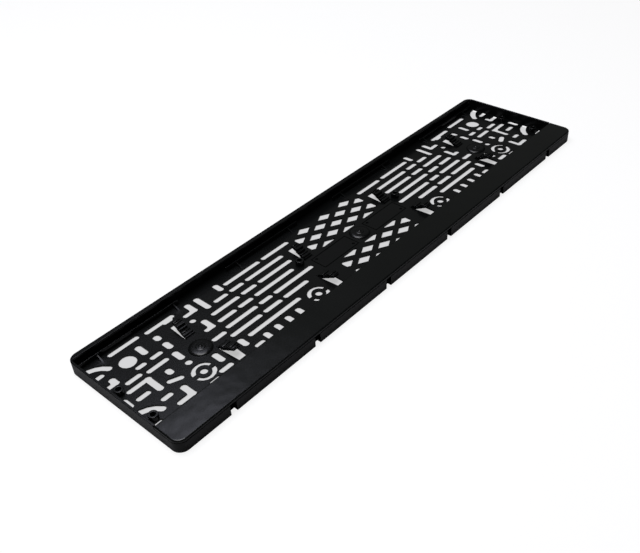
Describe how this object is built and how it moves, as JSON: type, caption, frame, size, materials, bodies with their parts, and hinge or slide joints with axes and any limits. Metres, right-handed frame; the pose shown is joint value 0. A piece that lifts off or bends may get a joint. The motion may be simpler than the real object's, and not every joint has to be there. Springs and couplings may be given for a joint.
{
  "type": "number plate holder",
  "caption": "Shallow oblong tray with a slotted, pierced floor, spring tongues and screw holes, and a clip-on strip along its lower edge, which holds a number plate on a vehicle.",
  "frame": {"origin": "middle of the flat back, on the plane the holder rests on", "axes": "+X along the plate, +Y up the plate towards the lip, +Z out of the open front"},
  "size_m": [0.532, 0.127, 0.0117],
  "materials": {
    "frame_plastic": "satin, near-black, as moulded",
    "strip_plastic": "smooth semi-gloss, near-black"
  },
  "bodies": {
    "root": {"frame": "frame_plastic", "clip_strip": "strip_plastic"}
  },
  "joints": []
}
